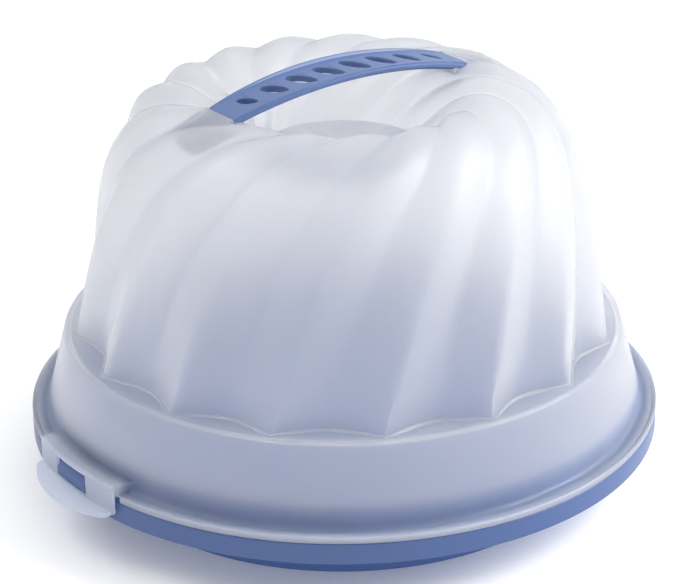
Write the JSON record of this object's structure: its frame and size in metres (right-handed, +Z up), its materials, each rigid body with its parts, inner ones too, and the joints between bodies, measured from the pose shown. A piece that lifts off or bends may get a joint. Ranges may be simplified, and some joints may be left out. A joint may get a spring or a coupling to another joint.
{
  "type": "cake carrier",
  "caption": "Round ring-cake carrier: footed tray, frosted fluted bell lid that lifts off, snap clips on its rim and an arched handle over its well.",
  "frame": {"origin": "centre of the foot on the table", "axes": "+Z up through the middle of the bell, the clips on the Y axis with the front one towards -Y, the handle along Y"},
  "size_m": [0.33, 0.3554, 0.2184],
  "materials": {
    "tray": "satin",
    "lid": "frosted translucent",
    "handle": "satin"
  },
  "bodies": {
    "base": {"base_tray": "tray"},
    "lid": {"lid_bell": "lid", "handle": "handle"},
    "front_clip": {"front_clip": "lid"},
    "rear_clip": {"rear_clip": "lid"}
  },
  "joints": [
    {"name": "lid_lift", "type": "slide", "parent": "base", "child": "lid", "axis": [0, 0, 1], "range_m": [0, 0.22]},
    {"name": "front_clip_hinge", "type": "hinge", "parent": "lid", "child": "front_clip", "pos_m": [0, -0.16515, 0.0455], "axis": [-1, 0, 0], "range_deg": [0, 30], "stiffness_Nm_per_rad": 0.01},
    {"name": "rear_clip_hinge", "type": "hinge", "parent": "lid", "child": "rear_clip", "pos_m": [0, 0.16515, 0.0455], "axis": [1, 0, 0], "range_deg": [0, 30], "stiffness_Nm_per_rad": 0.01}
  ]
}
